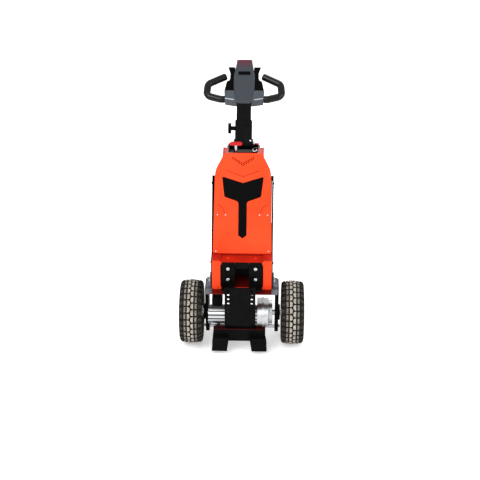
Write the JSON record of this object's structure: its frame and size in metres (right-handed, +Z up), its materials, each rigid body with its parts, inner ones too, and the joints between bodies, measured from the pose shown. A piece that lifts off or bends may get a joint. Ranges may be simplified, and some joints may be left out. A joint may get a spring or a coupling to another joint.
{
  "type": "pedestrian electric tow tug",
  "caption": "Walk-behind electric tow tug: upright sloped body on pneumatic drive wheels, rear swivel caster, holed hitch plate in front, tilting telescopic tiller with grips.",
  "frame": {"origin": "middle of the overall box, on the floor", "axes": "+X to the machine's right seen from the hitch, +Y back from the hitch to the tiller, +Z up"},
  "size_m": [0.517, 0.5993, 1.0963],
  "materials": {
    "orange_paint": "gloss powder coat",
    "dark_red_paint": "satin powder coat",
    "black_paint": "satin powder coat",
    "black_plastic": "moulded, fine grain",
    "grey_plastic": "moulded, satin",
    "red_plastic": "moulded, gloss",
    "grey_paint": "satin powder coat",
    "cast_aluminium": "cast and machined",
    "zinc_steel": "zinc plated",
    "rim_paint": "silver paint",
    "tyre_rubber": "matt rubber",
    "caster_nylon": "moulded",
    "battery_case": "moulded"
  },
  "bodies": {
    "chassis": {"base_frame": "orange_paint", "front_cover": "orange_paint", "guard_strip": "dark_red_paint", "side_panel_left": "black_paint", "side_panel_right": "black_paint", "rear_panel": "black_paint", "hitch_plate": "black_paint", "hitch_bracket_left": "black_paint", "hitch_bracket_right": "black_paint", "centre_bracket": "black_paint", "front_stand": "black_paint", "axle_hanger_left": "black_paint", "axle_hanger_right": "black_paint", "bearing_housing_left": "black_paint", "bearing_housing_right": "black_paint", "tiller_clevis": "black_paint", "cover_t_panel": "black_plastic", "top_deck": "black_plastic", "brake_box": "black_plastic", "key_switch": "black_plastic", "battery_disconnect": "red_plastic", "hanger_bracket_left": "grey_paint", "hanger_bracket_right": "grey_paint", "drive_motor": "cast_aluminium", "gear_case": "cast_aluminium", "stand_rod": "zinc_steel", "axle_tube": "zinc_steel", "caster_plate": "zinc_steel", "battery_pack": "battery_case"},
    "left_wheel": {"tyre_left": "tyre_rubber", "rim_left": "rim_paint", "half_shaft_left": "zinc_steel"},
    "right_wheel": {"tyre_right": "tyre_rubber", "rim_right": "rim_paint", "half_shaft_right": "zinc_steel"},
    "caster_swivel": {"caster_fork": "zinc_steel"},
    "caster_roller": {"caster_hub": "caster_nylon", "caster_tyre": "tyre_rubber"},
    "tiller": {"tiller_outer_tube": "black_paint", "clamp_knob": "black_plastic"},
    "handle": {"tiller_inner_tube": "black_paint", "head_base": "grey_plastic", "head_shell": "grey_plastic", "grip_left": "black_plastic", "grip_right": "black_plastic", "side_pods": "black_plastic", "thumb_paddles": "black_plastic", "rocker_switch": "black_plastic", "belly_button": "red_plastic"}
  },
  "joints": [
    {"name": "left_wheel_turn", "type": "hinge", "parent": "chassis", "child": "left_wheel", "pos_m": [-0.2115, -0.16469, 0.135], "axis": [1, 0, 0], "continuous": true},
    {"name": "right_wheel_turn", "type": "hinge", "parent": "chassis", "child": "right_wheel", "pos_m": [0.2115, -0.16469, 0.135], "axis": [1, 0, 0], "continuous": true},
    {"name": "caster_swivel_turn", "type": "hinge", "parent": "chassis", "child": "caster_swivel", "pos_m": [0, 0.06731, 0.278], "axis": [0, 0, 1], "continuous": true},
    {"name": "caster_wheel_turn", "type": "hinge", "parent": "caster_swivel", "child": "caster_roller", "pos_m": [0, 0.02231, 0.1], "axis": [1, 0, 0], "continuous": true},
    {"name": "tiller_tilt", "type": "hinge", "parent": "chassis", "child": "tiller", "pos_m": [0, 0.06029, 0.81], "axis": [-1, 0, 0], "range_deg": [-20, 35]},
    {"name": "handle_slide", "type": "slide", "parent": "tiller", "child": "handle", "axis": [0, 0.5, 0.866], "range_m": [0, 0.045]}
  ]
}
